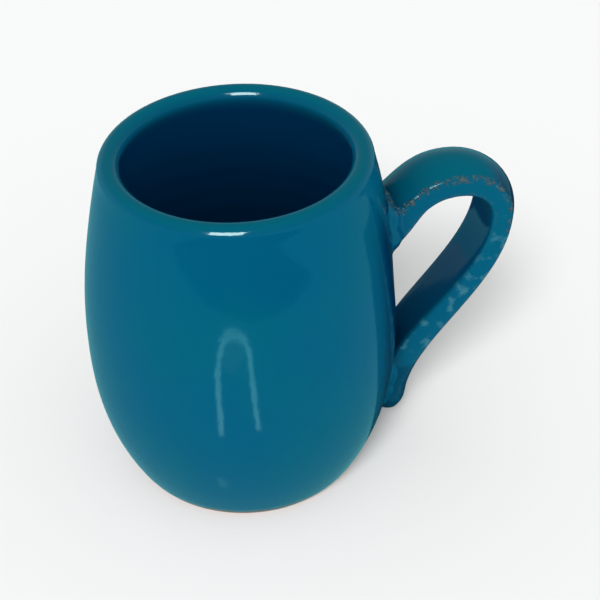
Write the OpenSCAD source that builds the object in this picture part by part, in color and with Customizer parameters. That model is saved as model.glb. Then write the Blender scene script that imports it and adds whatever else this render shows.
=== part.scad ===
// Small hand-made clay mug: a thrown cup with a full belly and a thick round lip, a pulled strap
// handle in the shape of an ear, the slip and the soft coils that join the two, and the glaze.
// Lengths are in millimetres. The origin is the centre of the foot on the table, +Z is up, and the
// handle lies in the XZ plane on the +X side.

/* [Cup] */
// Height of the clay, from the table to the crest of the lip
cup_h = 101; // [92:0.2:120]
// Diameter of the clay where the wall starts at the foot
foot_d = 66.4; // [58:0.2:74]
// Diameter of the clay at the belly, its widest place
belly_d = 87.2; // [80:0.2:100]
// Height of the belly
belly_z = 46; // [36:1:54]
// Diameter of the clay over the lip
rim_d = 72.8; // [62:0.2:82]
// Thickness of the wall
wall_t = 4.5; // [3:0.1:6]
// Thickness of the rounded lip
lip_t = 5.2; // [4:0.1:7]
// Height over which the wall swells to the lip
lip_run = 9; // [5:0.5:16]
// Thickness of the floor, from the table
floor_t = 6; // [5:0.5:10]
// Radius of the hollow's bottom corner
corner_r = 14; // [6:0.5:20]
// Radius of the outer edge of the flat foot
foot_edge_r = 0.8; // [0.3:0.1:1]

/* [Handle] */
// Width of the strap at the top
strap_w = 16.2; // [12:0.2:22]
// Thickness of the strap at the top
strap_t = 7.6; // [6:0.2:10]
// Width of the strap at its lower end
tail_w = 13.4; // [10:0.2:20]
// Thickness of the strap at its lower end
tail_t = 11.4; // [8:0.2:13]
// Height of the strap's middle line where it starts inside the wall
root_z = 73; // [66:0.5:78]
// Angle at which the strap leaves the wall, above the level
root_rise = 42; // [25:1:55]
// Height of the strap's middle line at its crown
crown_z = 86.3; // [82:0.1:96]
// How far the crown stands out from the belly
crown_out = 16.4; // [12:0.2:20]
// Height of the outermost place of the strap's middle line
bend_z = 73.7; // [62:0.1:78]
// How far the outermost place stands out from the belly
bend_out = 30.8; // [26:0.2:40]
// Height at which the middle line ends and the rounded toe starts
tail_z = 10.4; // [9.4:0.2:24]
// Length of the rounded toe
toe_l = 5; // [3:0.5:7]
// How far the strap's start lies inside the wall
root_sink = 3; // [2:0.1:4]
// How far the lower end is pressed into the line of the wall
tail_sink = 0.5; // [0.2:0.1:2]

/* [Joints] */
// Thickness of the slip between the strap and the wall
slip_t = 0.6; // [0.3:0.1:1.2]
// Width of the soft coil round each root
coil_w = 2.4; // [1.5:0.1:4]
// Height of the soft coil above the wall
coil_h = 1.8; // [1.4:0.1:3]

/* [Glaze] */
// Thickness of the glaze
glaze_t = 0.4; // [0.2:0.05:0.6]
// Height above the table at which the outer glaze stops
glaze_line = 1.2; // [1.1:0.1:4]

/* [Hidden] */

// How far the strap's shape runs on inside the wall, where the cup cuts it off
root_run = 9;

foot_r = foot_d / 2;
belly_r = belly_d / 2;
rim_r = rim_d / 2;
lip_r = lip_t / 2;
// Height of the middle of the lip's rounding
lip_z = cup_h - lip_r;
lip_mid_r = rim_r - lip_r;
// Height of the hollow where its bottom corner starts
corner_z = floor_t + corner_r;

// Powers that shape the wall: a higher one keeps it fuller towards the belly
foot_power = 2.5;
rim_power = 1.85;
// Power that squares up the strap's oval section
strap_power = 3.2;
// Pulls of the strap's three arcs, as shares of the arc's rise or reach
root_pull_share = 0.57;
crown_in_pull_share = 0.43;
crown_out_pull_share = 0.63;
bend_top_pull_share = 0.55;
bend_low_pull_share = 0.38;
tail_pull_share = 0.37;
// Angle by which the strap's lower end is turned into the wall
tail_bite = 16;
// Angle through which the toe rounds off, just short of a point
toe_turn = 84;
// Width that a coil is made in before it is cut, as a share of its own width
coil_make_share = 3;
// Share of the third arc that stays clear of the wall
clear_share = 0.46;

// Counts of steps: along the wall, round a quarter of the lip, and along the strap's arcs and toe
wall_steps = 24;
quarter_steps = 6;
root_steps = 8;
bend_steps = 7;
tail_steps = 14;
toe_steps = 4;
strap_sides = 20;
round_steps = 96;
reach_steps = 60;

// Outer radius of the clay wall at a height
function wall_r(z) = z < belly_z
    ? belly_r - (belly_r - foot_r) * pow((belly_z - z) / belly_z, foot_power)
    : belly_r - (belly_r - rim_r) * pow((z - belly_z) / (lip_z - belly_z), rim_power);

// Angle from upright at which the wall widens, at a height below the belly
function wall_lean(z) = atan((belly_r - foot_r) * foot_power / belly_z
    * pow((belly_z - z) / belly_z, foot_power - 1));

// Thickness of the wall at a height
function thick(z) = wall_t + (lip_t - wall_t) * max(0, 1 - (lip_z - z) / lip_run);

// The outside from the glaze line to the crest of the lip, moved out by g
function outside(g) = concat(
    [for (i = [0 : wall_steps]) let (z = glaze_line + (lip_z - glaze_line) * i / wall_steps)
        [wall_r(z) + g, z]],
    [for (i = [1 : quarter_steps]) let (a = 90 * i / quarter_steps)
        [lip_mid_r + (lip_r + g) * cos(a), lip_z + (lip_r + g) * sin(a)]]);

// The inside from the crest of the lip to the middle of the floor, moved in by g
function inside(g) = concat(
    [for (i = [0 : quarter_steps]) let (a = 90 + 90 * i / quarter_steps)
        [lip_mid_r + (lip_r + g) * cos(a), lip_z + (lip_r + g) * sin(a)]],
    [for (i = [1 : wall_steps]) let (z = lip_z + (corner_z - lip_z) * i / wall_steps)
        [wall_r(z) - thick(z) - g, z]],
    [for (i = [1 : quarter_steps]) let (a = 90 * i / quarter_steps)
        [wall_r(corner_z) - thick(corner_z) - corner_r + (corner_r - g) * cos(a),
         corner_z - (corner_r - g) * sin(a)]],
    [[0, floor_t + g]]);

// The foot's outer edge, from the table to the glaze line
function foot_edge() = [for (i = [0 : quarter_steps]) let (a = 90 * i / quarter_steps - 90)
    [wall_r(foot_edge_r) - foot_edge_r + foot_edge_r * cos(a), foot_edge_r + foot_edge_r * sin(a)]];

function backwards(list) = [for (i = [len(list) - 1 : -1 : 0]) list[i]];

function arc_point(p, t) = pow(1 - t, 3) * p[0] + 3 * t * pow(1 - t, 2) * p[1]
    + 3 * pow(t, 2) * (1 - t) * p[2] + pow(t, 3) * p[3];

function arc_way(p, t) = let (d = pow(1 - t, 2) * (p[1] - p[0]) + 2 * t * (1 - t) * (p[2] - p[1])
    + pow(t, 2) * (p[3] - p[2])) d / norm(d);

// Places on the strap's middle line, as [x, z]
root_at = [wall_r(root_z) - root_sink, root_z];
crown_at = [belly_r + crown_out, crown_z];
bend_at = [belly_r + bend_out, bend_z];
tail_at = [wall_r(tail_z) + tail_t / 2 - tail_sink, tail_z];
// Lean of the strap's middle line at its lower end, from upright
tail_lean = wall_lean(tail_z) - tail_bite;
root_way = [cos(root_rise), sin(root_rise)];
tail_way = [-sin(tail_lean), -cos(tail_lean)];

root_arc = [root_at,
            root_at + root_way * (crown_at[0] - root_at[0]) * root_pull_share,
            crown_at - [(crown_at[0] - root_at[0]) * crown_in_pull_share, 0],
            crown_at];
bend_arc = [crown_at,
            crown_at + [(bend_at[0] - crown_at[0]) * crown_out_pull_share, 0],
            bend_at + [0, (crown_z - bend_z) * bend_top_pull_share],
            bend_at];
tail_arc = [bend_at,
            bend_at - [0, (bend_z - tail_z) * bend_low_pull_share],
            tail_at - tail_way * (bend_z - tail_z) * tail_pull_share,
            tail_at];

// A station is [place, way, half of the width, half of the thickness], for a strap grown by g
function top_station(p, t, g) =
    [arc_point(p, t), arc_way(p, t), strap_w / 2 + g, strap_t / 2 + g];

function tail_station(t, g) = let (s = pow(t, 2) * (3 - 2 * t))
    [arc_point(tail_arc, t), arc_way(tail_arc, t),
     (strap_w + (tail_w - strap_w) * s) / 2 + g, (strap_t + (tail_t - strap_t) * s) / 2 + g];

function toe_station(a, g) =
    [tail_at + tail_way * (toe_l + g) * sin(a), tail_way,
     tail_w / 2 * cos(a) + g, tail_t / 2 * cos(a) + g];

// The stations of the first arc, from a start inside the wall
function root_stations(g) = concat(
    [[root_at - root_way * root_run, root_way, strap_w / 2 + g, strap_t / 2 + g]],
    [for (i = [0 : root_steps]) top_station(root_arc, i / root_steps, g)]);

function bend_stations(g) = [for (i = [1 : bend_steps]) top_station(bend_arc, i / bend_steps, g)];

// The stations of the third arc past a share of it, and of the toe
function tail_stations(share, g) = concat(
    [for (i = [1 : tail_steps]) if (i > tail_steps * share) tail_station(i / tail_steps, g)],
    [for (i = [1 : toe_steps]) toe_station(toe_turn * i / toe_steps, g)]);

function all_stations(g) = concat(root_stations(g), bend_stations(g), tail_stations(0, g));

function powered(v) = sign(v) * pow(abs(v), 2 / strap_power);

// The square oval of the strap's section, as a list of points about its middle
function square_oval(half_a, half_b) = [for (k = [0 : strap_sides - 1]) let (a = 360 * k / strap_sides)
    [half_a * powered(cos(a)), half_b * powered(sin(a))]];

// One ring of the strap's surface
function ring(s) = [for (p = square_oval(s[2], s[3]))
    [s[0][0] - s[1][1] * p[1], p[0], s[0][1] + s[1][0] * p[1]]];

// Triangles between two rings whose points start at a and b
function band(a, b) = [for (k = [0 : strap_sides - 1]) let (j = (k + 1) % strap_sides)
    each [[b + k, a + j, a + k], [b + k, b + j, a + j]]];

// Triangles along a row of rings whose points start at first
function skin(first, rings) = [for (i = [0 : rings - 2])
    each band(first + i * strap_sides, first + (i + 1) * strap_sides)];

function flipped(faces) = [for (f = faces) [f[2], f[1], f[0]]];

// A closed solid through a list of stations
module solid_strap(stations) {
    last = (len(stations) - 1) * strap_sides;
    start = [for (k = [0 : strap_sides - 1]) k];
    end = [for (k = [strap_sides - 1 : -1 : 0]) last + k];
    polyhedron([for (s = stations) each ring(s)], concat(skin(0, len(stations)), [start], [end]));
}

// A sleeve between two lists of stations, open at its start, and at its end too or else closed there
module sleeve(inner, outer, open_end) {
    n = len(inner) * strap_sides;
    last = n - strap_sides;
    inner_end = [for (k = [0 : strap_sides - 1]) last + k];
    outer_end = [for (k = [strap_sides - 1 : -1 : 0]) n + last + k];
    ends = open_end ? band(n + last, last) : [inner_end, outer_end];
    polyhedron(concat([for (s = inner) each ring(s)], [for (s = outer) each ring(s)]),
               concat(skin(n, len(outer)), flipped(skin(0, len(inner))), band(0, n), ends));
}

// Heights at which the strap's outer side (1) or inner side (-1) lies within reach of the wall
function near_wall(arc_stations, side, reach) = [for (s = arc_stations)
    let (p = s[0] + side * s[3] * [-s[1][1], s[1][0]]) if (p[0] < wall_r(p[1]) + reach) p[1]];

root_line = [for (i = [0 : reach_steps]) top_station(root_arc, i / reach_steps, 0)];
tail_line = [for (i = [0 : reach_steps]) tail_station(i / reach_steps, 0)];
// Lowest and highest places of the strap's print on the wall, at each root
upper_low = max(near_wall(root_line, -1, 0));
upper_high = max(near_wall(root_line, 1, coil_h));
lower_low = tail_z - toe_l;
lower_high = max(near_wall(tail_line, -1, coil_h));

// The edge of the soft coil round a root, as a bar along X
module root_bar(low, high, w) {
    translate([0, 0, (low + high) / 2]) rotate([90, 0, 90])
        linear_extrude(belly_r + bend_out)
            polygon(square_oval(w / 2 + coil_w, (high - low) / 2 + coil_w));
}

module upper_bar() {
    root_bar(upper_low, upper_high, strap_w);
}

module lower_bar() {
    root_bar(lower_low, lower_high, tail_w);
}

// The cup as a filled shape, its outside moved out by g
module filled_cup(g) {
    base = concat([[0, 0]], g == 0 ? foot_edge() : [[wall_r(0) + g, 0]]);
    rotate_extrude($fn = round_steps) polygon(concat(base, outside(g), [[0, cup_h + g]]));
}

module cup_body() {
    inner = inside(0);
    color([0.72, 0.42, 0.28])
        rotate_extrude($fn = round_steps)
            polygon(concat([[0, 0]], foot_edge(), outside(0), [for (i = [1 : len(inner) - 1]) inner[i]]));
}

module handle_strap() {
    color([0.72, 0.42, 0.28]) difference() {
        solid_strap(all_stations(0));
        filled_cup(slip_t);
    }
}

module upper_slip_pad() {
    color([0.62, 0.34, 0.22]) difference() {
        intersection() {
            solid_strap(root_stations(0));
            filled_cup(slip_t);
        }
        filled_cup(0);
    }
}

module lower_slip_pad() {
    color([0.62, 0.34, 0.22]) difference() {
        intersection() {
            solid_strap(tail_stations(clear_share, 0));
            filled_cup(slip_t);
        }
        filled_cup(0);
    }
}

// The coils are made from sleeves much wider than they are, cut to their edge and to their height
module upper_root_coil() {
    color([0.0, 0.36, 0.47]) difference() {
        intersection() {
            sleeve(root_stations(0), root_stations(coil_make_share * coil_w), true);
            upper_bar();
            filled_cup(coil_h);
        }
        filled_cup(0);
    }
}

module lower_root_coil() {
    color([0.0, 0.36, 0.47]) difference() {
        intersection() {
            sleeve(tail_stations(clear_share, 0), tail_stations(clear_share, coil_make_share * coil_w),
                   false);
            lower_bar();
            filled_cup(coil_h);
        }
        filled_cup(0);
    }
}

module liner_glaze() {
    color([0.0, 0.3, 0.42])
        rotate_extrude($fn = round_steps) polygon(concat(inside(0), backwards(inside(glaze_t))));
}

module outer_glaze() {
    color([0.0, 0.39, 0.51]) difference() {
        rotate_extrude($fn = round_steps) polygon(concat(outside(glaze_t), backwards(outside(0))));
        upper_bar();
        lower_bar();
    }
}

module handle_glaze() {
    color([0.0, 0.39, 0.51]) difference() {
        sleeve(all_stations(0), all_stations(glaze_t), false);
        filled_cup(coil_h);
    }
}

cup_body();
handle_strap();
upper_slip_pad();
lower_slip_pad();
upper_root_coil();
lower_root_coil();
liner_glaze();
outer_glaze();
handle_glaze();
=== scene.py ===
# %% [markdown]
# # A small clay mug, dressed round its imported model
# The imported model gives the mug's pieces at their real size: a thrown cup, a pulled strap handle,
# the slip and coils that join them, and the glaze. This lesson throws the cup, pulls the handle,
# smears the joints and glazes it all again as smooth meshes, in the same frame.

# %% Load the fixed frame
import math
import random

import bmesh
import bpy
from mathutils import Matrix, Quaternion, Vector
from mathutils.bvhtree import BVHTree


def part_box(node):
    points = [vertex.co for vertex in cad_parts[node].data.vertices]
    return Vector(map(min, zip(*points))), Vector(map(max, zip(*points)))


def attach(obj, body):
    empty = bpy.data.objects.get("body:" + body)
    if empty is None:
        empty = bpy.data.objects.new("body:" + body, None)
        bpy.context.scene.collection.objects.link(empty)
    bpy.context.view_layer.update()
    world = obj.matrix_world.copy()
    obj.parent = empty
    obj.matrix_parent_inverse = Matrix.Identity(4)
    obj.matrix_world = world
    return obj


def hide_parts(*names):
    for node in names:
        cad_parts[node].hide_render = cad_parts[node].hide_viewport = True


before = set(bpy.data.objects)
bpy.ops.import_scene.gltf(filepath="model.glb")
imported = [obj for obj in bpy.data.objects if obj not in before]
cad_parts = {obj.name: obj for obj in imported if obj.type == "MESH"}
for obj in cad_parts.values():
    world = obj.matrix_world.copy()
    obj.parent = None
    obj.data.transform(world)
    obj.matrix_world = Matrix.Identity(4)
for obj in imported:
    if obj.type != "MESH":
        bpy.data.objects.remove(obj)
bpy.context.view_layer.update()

MM = 0.001

# %% [markdown]
# ## The camera
# The lens and the place come from the ellipse of the lip and the outline of the belly. The camera
# looks down at the mug from a little left of square, so that the handle swings away to the right.
# It could track an empty, but a turn worked out once is simpler and leaves nothing live in the file.

# %% Place the camera
FOCAL_PX = 1500
PICTURE_PX = 600
SENSOR_MM = 36
CAMERA_AZIMUTH = -10
CAMERA_ELEVATION = 38.04
CAMERA_ROLL = -2.355
CAMERA_DISTANCE = 425.7 * MM
TARGET = Vector((0, 0, 50 * MM))
# Where the target lies in the picture, in pixels from the top left corner
TARGET_PX = (241.6, 304.2)


def direction(azimuth, elevation):
    """The way from the mug to something that stands at an azimuth and an elevation."""
    a, e = math.radians(azimuth), math.radians(elevation)
    return Vector((math.sin(a) * math.cos(e), -math.cos(a) * math.cos(e), math.sin(e)))


back = direction(CAMERA_AZIMUTH, CAMERA_ELEVATION)
bpy.ops.object.camera_add(location=TARGET + back * CAMERA_DISTANCE)
camera = bpy.context.object
camera.name = "camera"
camera.data.sensor_width = SENSOR_MM
camera.data.lens = FOCAL_PX / PICTURE_PX * SENSOR_MM
centre_px = PICTURE_PX / 2
sight = Vector(((TARGET_PX[0] - centre_px) / FOCAL_PX, (centre_px - TARGET_PX[1]) / FOCAL_PX, -1))
off_centre = Vector((0, 0, -1)).rotation_difference(sight.normalized())
rolled = Quaternion((0, 0, 1), math.radians(CAMERA_ROLL))
camera.rotation_mode = "QUATERNION"
camera.rotation_quaternion = (-back).to_track_quat("-Z", "Y") @ rolled @ off_centre.inverted()
bpy.context.scene.camera = camera
print("camera at", [round(c, 3) for c in camera.location], "lens", camera.data.lens)

# %% [markdown]
# ## Sizes of the cup
# Height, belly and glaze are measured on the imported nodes. The rest of the outline is the potter's
# choice, written once here: a wall that swells from the foot to a full belly and closes a little
# towards a thick round lip. Two power curves give that wall with two numbers, where a spline would
# need many points.

# %% Measure the cup and set out its wall
cup_low, cup_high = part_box("cup_body")
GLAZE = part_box("outer_glaze")[1].z - cup_high.z
CUP_H = cup_high.z
BELLY_R = -cup_low.x
FOOT_R = 33.2 * MM
RIM_R = 36.4 * MM
BELLY_Z = 46 * MM
WALL = 4.5 * MM
LIP = 5.2 * MM
LIP_RUN = 9 * MM
FLOOR = 6 * MM
CORNER_R = 14 * MM
FOOT_EDGE_R = 0.8 * MM
# The glaze stops short of the foot, which stands on bare clay
GLAZE_LINE = 1.2 * MM
FOOT_POWER = 2.5
RIM_POWER = 1.85
LIP_Z = CUP_H - LIP / 2
CORNER_Z = FLOOR + CORNER_R


def wall_radius(z):
    """Outer radius of the clay at a height."""
    if z < BELLY_Z:
        return BELLY_R - (BELLY_R - FOOT_R) * ((BELLY_Z - z) / BELLY_Z) ** FOOT_POWER
    return BELLY_R - (BELLY_R - RIM_R) * ((z - BELLY_Z) / (LIP_Z - BELLY_Z)) ** RIM_POWER


def wall_thickness(z):
    """Thickness of the clay at a height: it swells just under the lip."""
    return WALL + (LIP - WALL) * max(0, 1 - (LIP_Z - z) / LIP_RUN)


print("cup", round(CUP_H / MM, 1), "mm high, belly", round(2 * BELLY_R / MM, 1), "mm across")

# %% [markdown]
# ## The profile
# A thrown pot is a profile turned round an axis. The outside runs up from the glaze line and over
# the crest of the lip; the inside runs down to the middle of the floor. Moved out by the glaze's
# thickness, the same two curves give the surface that is seen.

# %% Curves of the outside and the inside
WALL_STEPS = 44
LIP_STEPS = 9
CORNER_STEPS = 12
FLOOR_STEPS = 8
# Throwing rings left inside by the fingers: their height and their spacing up the wall
RING_DEPTH = 0.09 * MM
RING_PITCH = 7.5 * MM


def lip_arc(first, last, grow):
    """Points round the lip, between two angles in degrees."""
    r = LIP / 2 + grow
    turns = [math.radians(first + (last - first) * i / LIP_STEPS) for i in range(LIP_STEPS + 1)]
    return [(RIM_R - LIP / 2 + r * math.cos(a), LIP_Z + r * math.sin(a)) for a in turns]


def outside(grow):
    """From the glaze line to the crest of the lip."""
    heights = [GLAZE_LINE + (LIP_Z - GLAZE_LINE) * i / WALL_STEPS for i in range(WALL_STEPS)]
    return [(wall_radius(z) + grow, z) for z in heights] + lip_arc(0, 90, grow)


def inside(grow):
    """From the crest of the lip to the middle of the floor."""
    points = lip_arc(90, 180, grow)
    for i in range(1, WALL_STEPS + 1):
        z = LIP_Z + (CORNER_Z - LIP_Z) * i / WALL_STEPS
        fade = math.sin(math.pi * i / WALL_STEPS)
        ring = RING_DEPTH * fade * math.sin(2 * math.pi * z / RING_PITCH)
        points.append((wall_radius(z) - wall_thickness(z) - grow + ring, z))
    corner_x = wall_radius(CORNER_Z) - wall_thickness(CORNER_Z) - CORNER_R
    for i in range(1, CORNER_STEPS + 1):
        a = math.pi / 2 * i / CORNER_STEPS
        r = CORNER_R - grow
        points.append((corner_x + r * math.cos(a), CORNER_Z - r * math.sin(a)))
    return points + [(corner_x * (1 - i / FLOOR_STEPS), FLOOR + grow) for i in range(1, FLOOR_STEPS + 1)]


print("profile of", len(outside(GLAZE)) + len(inside(GLAZE)), "points")

# %% [markdown]
# ## Throwing
# The profile is drawn as a chain of points: a plane is merged to one vertex, and the vertex is
# extruded from point to point. Spin turns the chain round the axis, the doubles at the seam and at
# the middle are merged, and then the normals are turned outwards. A Screw modifier could do the
# same, but spin leaves a plain mesh that the next steps can push about.

# %% Helpers to pick, throw and finish a mesh
ROUND_STEPS = 176
WELD = 0.001 * MM


def only(piece):
    """Make one object the active and only selected one."""
    bpy.ops.object.select_all(action="DESELECT")
    piece.select_set(True)
    bpy.context.view_layer.objects.active = piece
    return piece


def pick(piece, test):
    """In edit mode, select just the vertices that pass a test of their place."""
    bpy.ops.mesh.select_all(action="DESELECT")
    mesh = bmesh.from_edit_mesh(piece.data)
    for vertex in mesh.verts:
        vertex.select = test(vertex.co)
    mesh.select_flush_mode()
    bmesh.update_edit_mesh(piece.data)
    return sum(vertex.select for vertex in mesh.verts)


def draw_chain(name, points):
    """A chain of vertices through (radius, height) points, still in edit mode."""
    bpy.ops.mesh.primitive_plane_add(size=MM)
    piece = bpy.context.object
    piece.name = name
    bpy.ops.object.mode_set(mode="EDIT")
    bpy.ops.mesh.select_all(action="SELECT")
    bpy.ops.mesh.merge(type="CENTER")
    bpy.ops.transform.translate(value=(points[0][0], 0, points[0][1]))
    for (r0, z0), (r1, z1) in zip(points, points[1:]):
        step = {"value": (r1 - r0, 0, z1 - z0)}
        bpy.ops.mesh.extrude_vertices_move(TRANSFORM_OT_translate=step)
    return piece


def throw(name, points):
    """A pot turned from a profile that starts and ends on the axis, or closes on itself."""
    piece = draw_chain(name, points)
    bpy.ops.mesh.select_all(action="SELECT")
    bpy.ops.mesh.spin(steps=ROUND_STEPS, angle=2 * math.pi, center=(0, 0, 0), axis=(0, 0, 1))
    bpy.ops.mesh.select_all(action="SELECT")
    bpy.ops.mesh.remove_doubles(threshold=WELD)
    bpy.ops.mesh.delete_loose(use_verts=True, use_edges=True, use_faces=False)
    bpy.ops.mesh.select_all(action="SELECT")
    bpy.ops.mesh.normals_make_consistent(inside=False)
    bpy.ops.object.mode_set(mode="OBJECT")
    print(name, len(piece.data.vertices), "vertices,", len(piece.data.polygons), "faces")
    return piece


# %% Throw the clay and its coat of glaze
# The coat's lower edge rolls in by these shares of its thickness: at the clay, and just above
EDGE_ROLL, EDGE_RISE = 0.6, 0.2
foot_edge = []
for i in range(LIP_STEPS + 1):
    a = math.pi / 2 * (i / LIP_STEPS - 1)
    x = wall_radius(FOOT_EDGE_R) - FOOT_EDGE_R + FOOT_EDGE_R * math.cos(a)
    foot_edge.append((x, FOOT_EDGE_R + FOOT_EDGE_R * math.sin(a)))
foot_r = foot_edge[0][0]
foot_flat = [(foot_r * i / FLOOR_STEPS, 0) for i in range(FLOOR_STEPS)]
cup_clay = throw("cup_clay", foot_flat + foot_edge + outside(0) + inside(0)[1:])

outer = outside(GLAZE)
edge_r = outer[0][0]
rolled_edge = [(edge_r - EDGE_ROLL * GLAZE, GLAZE_LINE),
               (edge_r - EDGE_RISE * GLAZE, GLAZE_LINE + EDGE_RISE * GLAZE)]
skin_out = rolled_edge + outer[1:] + inside(GLAZE)[1:]
skin_in = [*reversed(outside(0) + inside(0)[1:])]
cup_glaze = throw("cup_glaze", skin_out + skin_in + rolled_edge[:1])

# %% [markdown]
# ## The potter's hand
# No thrown cup is quite true. The lip leans by about a degree, and the wall is pressed in a little
# under the handle, where a thumb held it while the strap was joined. A lattice could bend it too,
# but proportional editing spreads a small push smoothly, and clay and glaze get the same one.

# %% Lean the lip and press the wall
LEAN = 0.018
LEAN_RUN = 45 * MM
CREST_BAND = LIP / 8
PRESS_AT = Vector((BELLY_R, 0, 62 * MM))
PRESS = 1.1 * MM
PRESS_RUN = 24 * MM


def spread(run):
    """Settings that let the neighbours follow a push less and less."""
    return {"use_proportional_edit": True, "proportional_edit_falloff": "SMOOTH", "proportional_size": run}


def lean_lip(piece):
    """Turn the crest of the lip about its middle, and the wall below it less and less."""
    crest = max(v.co.z for v in piece.data.vertices)
    only(piece)
    bpy.ops.object.mode_set(mode="EDIT")
    pick(piece, lambda co: co.z > crest - CREST_BAND)
    bpy.ops.transform.rotate(value=LEAN, orient_axis="Y", center_override=(0, 0, crest), **spread(LEAN_RUN))
    bpy.ops.object.mode_set(mode="OBJECT")


def press_wall(piece):
    """Push in the vertex nearest to the pressed place, and its neighbours less and less."""
    nearest = min((v.co for v in piece.data.vertices), key=lambda co: (co - PRESS_AT).length).copy()
    only(piece)
    bpy.ops.object.mode_set(mode="EDIT")
    pick(piece, lambda co: (co - nearest).length < WELD)
    bpy.ops.transform.translate(value=(-PRESS, 0, 0), **spread(PRESS_RUN))
    bpy.ops.object.mode_set(mode="OBJECT")


for cup_piece in (cup_clay, cup_glaze):
    lean_lip(cup_piece)
    press_wall(cup_piece)
print("lip leans", round(2 * RIM_R * LEAN / MM, 2), "mm from side to side")

# %% [markdown]
# ## The pulled strap
# The handle is a strap of clay, pulled thin and bent to the shape of an ear. Its middle line is
# three cubic arcs: up and out of the wall, round the bend, and down to a toe that a thumb pressed
# on to the wall. Its section is a loaf: flat inside, with upright sides and a crowned outside that
# meets the sides in a ridge. A curve with a bevel profile would keep one section all the way, so a
# ring of vertices is extruded from station to station instead, and each ring gets its own section.

# %% Set out the strap's middle line
STRAP_W = 16.2 * MM
STRAP_T = 7.6 * MM
TAIL_W = 13.4 * MM
TAIL_T = 11.4 * MM
ROOT_Z = 73 * MM
ROOT_SINK = 3 * MM
ROOT = Vector((wall_radius(ROOT_Z) - ROOT_SINK, ROOT_Z))
CROWN = Vector((BELLY_R + 16.4 * MM, 86.3 * MM))
BEND = Vector((BELLY_R + 30.8 * MM, 73.7 * MM))
TAIL_Z = 10.4 * MM
TAIL_SINK = 0.5 * MM
TAIL = Vector((wall_radius(TAIL_Z) + TAIL_T / 2 - TAIL_SINK, TAIL_Z))
ROOT_RISE = math.radians(42)
TAIL_LEAN = math.radians(5.05)
# How far each handle of an arc pulls, as shares of the way it spans
ROOT_PULL_SHARES = (0.57, 0.43)
BEND_PULL_SHARES = (0.63, 0.55)
TAIL_PULL_SHARES = (0.38, 0.37)
root_way = Vector((math.cos(ROOT_RISE), math.sin(ROOT_RISE)))
tail_way = Vector((-math.sin(TAIL_LEAN), -math.cos(TAIL_LEAN)))
reach = CROWN.x - ROOT.x
drop = BEND.y - TAIL.y
out_way, up_way = Vector((1, 0)), Vector((0, 1))
root_arc = [ROOT, ROOT + root_way * reach * ROOT_PULL_SHARES[0],
            CROWN - out_way * reach * ROOT_PULL_SHARES[1], CROWN]
bend_arc = [CROWN, CROWN + out_way * (BEND.x - CROWN.x) * BEND_PULL_SHARES[0],
            BEND + up_way * (CROWN.y - BEND.y) * BEND_PULL_SHARES[1], BEND]
tail_arc = [BEND, BEND - up_way * drop * TAIL_PULL_SHARES[0],
            TAIL - tail_way * drop * TAIL_PULL_SHARES[1], TAIL]


def arc_place(arc, t):
    """A place on a cubic arc, and the way along it there."""
    a, b, c, d = arc
    s = 1 - t
    place = a * s ** 3 + b * 3 * t * s ** 2 + c * 3 * t ** 2 * s + d * t ** 3
    way = (b - a) * s ** 2 + (c - b) * 2 * s * t + (d - c) * t ** 2
    return place, way.normalized()


def ease(share):
    """A share from 0 to 1 that starts and ends gently."""
    share = min(max(share, 0), 1)
    return share * share * (3 - 2 * share)


# %% Stations along the strap
ROOT_STEPS, BEND_STEPS, TAIL_STEPS, TOE_STEPS = 18, 16, 40, 10
# The toe ends this far past the tail, drawn in towards the wall
TOE = 5 * MM
TOE_IN = 3 * MM
TOE_TURN = math.radians(84)
# Tilt of the crowned face where it meets the ridge, at the bend and at the tail
CROWN_TILT = math.radians(28)
TAIL_TILT = math.radians(46)
# The thumb pressed both sides of the tail in below this height
THUMB_Z = 24.5 * MM
THUMB_RUN = 4 * MM
THUMB_PRESS = 2 * MM
# The strap's inside flares down on to the wall by this much at its root
FLARE = 2.2 * MM
FLARE_STEPS = 9


def stations(grow):
    """(place, way, half width, half thickness, tilt, undercut) along the strap, grown by the glaze."""
    found = []
    half_w, half_t = STRAP_W / 2 + grow, STRAP_T / 2 + grow
    for i in range(ROOT_STEPS):
        place, way = arc_place(root_arc, i / ROOT_STEPS)
        flare = FLARE * (1 - ease(i / FLARE_STEPS)) / 2
        place += Vector((way.y, -way.x)) * flare
        found.append((place, way, half_w, half_t + flare, CROWN_TILT, 0))
    for i in range(BEND_STEPS):
        found.append((*arc_place(bend_arc, i / BEND_STEPS), half_w, half_t, CROWN_TILT, 0))
    for i in range(TAIL_STEPS + 1):
        t = i / TAIL_STEPS
        place, way = arc_place(tail_arc, t)
        half_w = (STRAP_W + (TAIL_W - STRAP_W) * ease(t)) / 2 + grow
        half_t = (STRAP_T + (TAIL_T - STRAP_T) * ease(t)) / 2 + grow
        tilt = CROWN_TILT + (TAIL_TILT - CROWN_TILT) * ease(t)
        undercut = THUMB_PRESS * ease((THUMB_Z - place.y) / THUMB_RUN)
        found.append((place, way, half_w, half_t, tilt, undercut))
    for i in range(1, TOE_STEPS + 1):
        a = TOE_TURN * i / TOE_STEPS
        place = TAIL + tail_way * (TOE + grow) * math.sin(a) - out_way * TOE_IN * (1 - math.cos(a))
        way = (tail_way * TOE * math.cos(a) - out_way * TOE_IN * math.sin(a)).normalized()
        shrink = math.cos(a)
        found.append((place, way, TAIL_W / 2 * shrink + grow, TAIL_T / 2 * shrink + grow, TAIL_TILT,
                      THUMB_PRESS * shrink))
    return found


print("strap of", len(stations(0)), "stations")

# %% The strap's section
FLAT_STEPS, EDGE_STEPS, SIDE_STEPS, RIDGE_STEPS, CROWN_STEPS = 3, 5, 3, 4, 7
# Radii of the inner edge and of the ridge, as shares of the half thickness
EDGE_SHARE = 0.24
RIDGE_SHARE = 0.3
# The inner edge is worn this much where the ridge is worn fully
EDGE_WEAR = 0.6


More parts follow.
